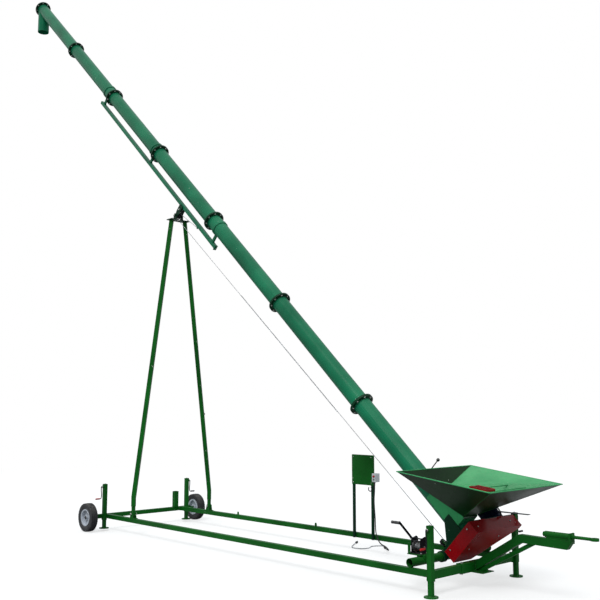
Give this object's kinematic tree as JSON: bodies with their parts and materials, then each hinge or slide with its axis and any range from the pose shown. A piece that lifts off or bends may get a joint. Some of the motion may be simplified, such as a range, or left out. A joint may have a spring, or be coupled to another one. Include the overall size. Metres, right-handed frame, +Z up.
{
  "type": "portable grain auger",
  "caption": "Inclined screw conveyor for grain on a towable frame, with inlet hopper, belt drive, A-frame rope hoist and screw jacks.",
  "frame": {"origin": "on the ground under the centre of the bounding box, measured without the two cords", "axes": "+X along the frame from the wheels to the tow eye, +Y across it to the side away from the winch, +Z up"},
  "size_m": [11.8856, 2.2379, 10.1324],
  "materials": {
    "green_paint": "glossy, worn",
    "dark_green_paint": "satin",
    "red_paint": "glossy",
    "bare_steel": "bare",
    "black_paint": "satin",
    "motor_blue": "satin",
    "tyre_rubber": "matte",
    "silver_paint": "satin metallic",
    "belt_rubber": "matte",
    "grey_plastic": "matte",
    "wire_rope": "twisted wire",
    "cable_rubber": "matte"
  },
  "bodies": {
    "chassis": {"near_rail": "green_paint", "far_rail": "green_paint", "axle_beam": "green_paint", "rear_cross_member": "green_paint", "drawbar": "green_paint", "pivot_tube": "green_paint", "winch_bracket": "green_paint", "winch_housing": "black_paint", "control_panel": "green_paint", "panel_cable": "cable_rubber", "lead_socket": "cable_rubber", "ground_lead": "grey_plastic", "lead_plug": "cable_rubber", "rope_tail": "wire_rope"},
    "near_wheel": {"near_tyre": "tyre_rubber", "near_rim": "silver_paint"},
    "far_wheel": {"far_tyre": "tyre_rubber", "far_rim": "silver_paint"},
    "auger": {"inlet_tube": "green_paint", "tube_section_1": "green_paint", "tube_section_2": "green_paint", "tube_section_3": "green_paint", "tube_section_4": "green_paint", "tube_section_5": "green_paint", "tube_section_6": "green_paint", "inlet_boot": "green_paint", "hopper": "green_paint", "head_plate": "dark_green_paint", "spout": "green_paint", "guide_rail": "green_paint", "motor": "motor_blue", "belt_guard": "red_paint", "drive_frame": "dark_green_paint", "drive_belt": "belt_rubber"},
    "screw": {"screw_shaft": "bare_steel", "screw_flight": "bare_steel", "screw_pulley": "black_paint"},
    "motor_pulley": {"motor_pulley": "black_paint"},
    "gate": {"gate": "bare_steel"},
    "a_frame": {"a_frame_leg_near": "green_paint", "a_frame_leg_far": "green_paint", "top_yoke": "dark_green_paint"},
    "carriage": {"carriage_frame": "dark_green_paint", "rope_short": "wire_rope"},
    "carriage_roller": {"carriage_roller": "black_paint"},
    "top_pulley": {"top_pulley": "black_paint"},
    "lower_sheave": {"lower_sheave": "black_paint"},
    "rope_low": {"rope_low": "wire_rope"},
    "rope_high": {"rope_high": "wire_rope"},
    "winch_drum": {"winch_drum": "bare_steel"},
    "winch_crank": {"winch_crank": "black_paint"},
    "tow_eye": {"tow_eye": "green_paint"},
    "wheel_near_jack_leg": {"wheel_near_jack_leg": "green_paint"},
    "wheel_near_jack_crank": {"wheel_near_jack_crank": "black_paint"},
    "wheel_far_jack_leg": {"wheel_far_jack_leg": "green_paint"},
    "wheel_far_jack_crank": {"wheel_far_jack_crank": "black_paint"},
    "hitch_near_jack_leg": {"hitch_near_jack_leg": "green_paint"},
    "hitch_near_jack_crank": {"hitch_near_jack_crank": "black_paint"},
    "hitch_far_jack_leg": {"hitch_far_jack_leg": "green_paint"},
    "hitch_far_jack_crank": {"hitch_far_jack_crank": "black_paint"}
  },
  "joints": [
    {"name": "near_wheel_spin", "type": "hinge", "parent": "chassis", "child": "near_wheel", "pos_m": [-1.63515, -0.984, 0.2075], "axis": [0, 1, 0], "continuous": true},
    {"name": "far_wheel_spin", "type": "hinge", "parent": "chassis", "child": "far_wheel", "pos_m": [-1.63515, 0.984, 0.2075], "axis": [0, 1, 0], "continuous": true},
    {"name": "wheel_near_jack_travel", "type": "slide", "parent": "chassis", "child": "wheel_near_jack_leg", "axis": [0, 0, -1], "range_m": [-0.02, 0.28]},
    {"name": "wheel_near_jack_crank_turn", "type": "hinge", "parent": "chassis", "child": "wheel_near_jack_crank", "pos_m": [-1.56316, -0.7923, 0.6475], "axis": [0, 1, 0], "range_deg": [-720, 10080]},
    {"name": "wheel_far_jack_travel", "type": "slide", "parent": "chassis", "child": "wheel_far_jack_leg", "axis": [0, 0, -1], "range_m": [-0.02, 0.28]},
    {"name": "wheel_far_jack_crank_turn", "type": "hinge", "parent": "chassis", "child": "wheel_far_jack_crank", "pos_m": [-1.56316, 0.7923, 0.6475], "axis": [0, 1, 0], "range_deg": [-720, 10080]},
    {"name": "hitch_near_jack_travel", "type": "slide", "parent": "chassis", "child": "hitch_near_jack_leg", "axis": [0, 0, -1], "range_m": [-0.1, 0.2]},
    {"name": "hitch_near_jack_crank_turn", "type": "hinge", "parent": "chassis", "child": "hitch_near_jack_crank", "pos_m": [4.56884, -0.7923, 0.6475], "axis": [0, 1, 0], "range_deg": [-3600, 7200]},
    {"name": "hitch_far_jack_travel", "type": "slide", "parent": "chassis", "child": "hitch_far_jack_leg", "axis": [0, 0, -1], "range_m": [-0.1, 0.2]},
    {"name": "hitch_far_jack_crank_turn", "type": "hinge", "parent": "chassis", "child": "hitch_far_jack_crank", "pos_m": [4.56884, 0.7923, 0.6475], "axis": [0, 1, 0], "range_deg": [-3600, 7200]},
    {"name": "lift", "type": "hinge", "parent": "chassis", "child": "auger", "pos_m": [4.25485, 0, 0.2823], "axis": [0, 1, 0], "range_deg": [-24, 3]},
    {"name": "a_frame_swing", "type": "hinge", "parent": "chassis", "child": "a_frame", "pos_m": [-0.87216, 0, 0.3035], "axis": [0, 1, 0], "range_deg": [-53, 7]},
    {"name": "carriage_swing", "type": "hinge", "parent": "a_frame", "child": "carriage", "pos_m": [-0.86316, 0, 4.8165], "axis": [0, 1, 0], "range_deg": [-4, 29]},
    {"name": "roller_spin", "type": "hinge", "parent": "carriage", "child": "carriage_roller", "pos_m": [-0.78798, 0, 4.89803], "axis": [0, 1, 0], "continuous": true},
    {"name": "top_pulley_spin", "type": "hinge", "parent": "a_frame", "child": "top_pulley", "pos_m": [-0.86316, 0, 4.8165], "axis": [0, 1, 0], "continuous": true},
    {"name": "rope_low_swing", "type": "hinge", "parent": "chassis", "child": "rope_low", "pos_m": [4.19285, 0, 0.4023], "axis": [0, 1, 0], "range_deg": [-24, 3.2]},
    {"name": "rope_high_swing", "type": "hinge", "parent": "a_frame", "child": "rope_high", "pos_m": [-0.86316, 0, 4.8165], "axis": [0, 1, 0], "range_deg": [-4, 29.2]},
    {"name": "lower_sheave_spin", "type": "hinge", "parent": "chassis", "child": "lower_sheave", "pos_m": [4.19285, -0.03725, 0.4023], "axis": [0.6508, 0, 0.7593], "continuous": true},
    {"name": "screw_spin", "type": "hinge", "parent": "auger", "child": "screw", "pos_m": [4.88084, 0, 0.1345], "axis": [0.7352, 0, -0.6779], "continuous": true},
    {"name": "motor_pulley_spin", "type": "hinge", "parent": "auger", "child": "motor_pulley", "pos_m": [4.96897, 0.41, 0.23007], "axis": [0.7352, 0, -0.6779], "continuous": true},
    {"name": "gate_slide", "type": "slide", "parent": "auger", "child": "gate", "axis": [-0.7352, 0, 0.6779], "range_m": [0, 0.35]},
    {"name": "winch_drum_spin", "type": "hinge", "parent": "chassis", "child": "winch_drum", "pos_m": [4.19484, -0.45, 0.4103], "axis": [1, 0, 0], "continuous": true},
    {"name": "winch_crank_spin", "type": "hinge", "parent": "chassis", "child": "winch_crank", "pos_m": [4.19484, -0.45, 0.4863], "axis": [1, 0, 0], "continuous": true},
    {"name": "tow_eye_swivel", "type": "hinge", "parent": "chassis", "child": "tow_eye", "pos_m": [5.67485, 0, 0.6195], "axis": [1, 0, 0], "continuous": true}
  ],
  "couplings": [
    {"joint": "wheel_near_jack_travel", "follows": "wheel_near_jack_crank_turn", "m_per_rad": 0.0015915},
    {"joint": "wheel_far_jack_travel", "follows": "wheel_far_jack_crank_turn", "m_per_rad": 0.0015915},
    {"joint": "hitch_near_jack_travel", "follows": "hitch_near_jack_crank_turn", "m_per_rad": 0.0015915},
    {"joint": "hitch_far_jack_travel", "follows": "hitch_far_jack_crank_turn", "m_per_rad": 0.0015915},
    {"joint": "a_frame_swing", "follows": "lift", "ratio": 2.182},
    {"joint": "carriage_swing", "follows": "lift", "ratio": -1.182},
    {"joint": "rope_low_swing", "follows": "lift", "ratio": 0.98},
    {"joint": "rope_high_swing", "follows": "lift", "ratio": -1.202},
    {"joint": "motor_pulley_spin", "follows": "screw_spin", "ratio": 3.1111},
    {"joint": "winch_crank_spin", "follows": "winch_drum_spin", "ratio": -4}
  ]
}
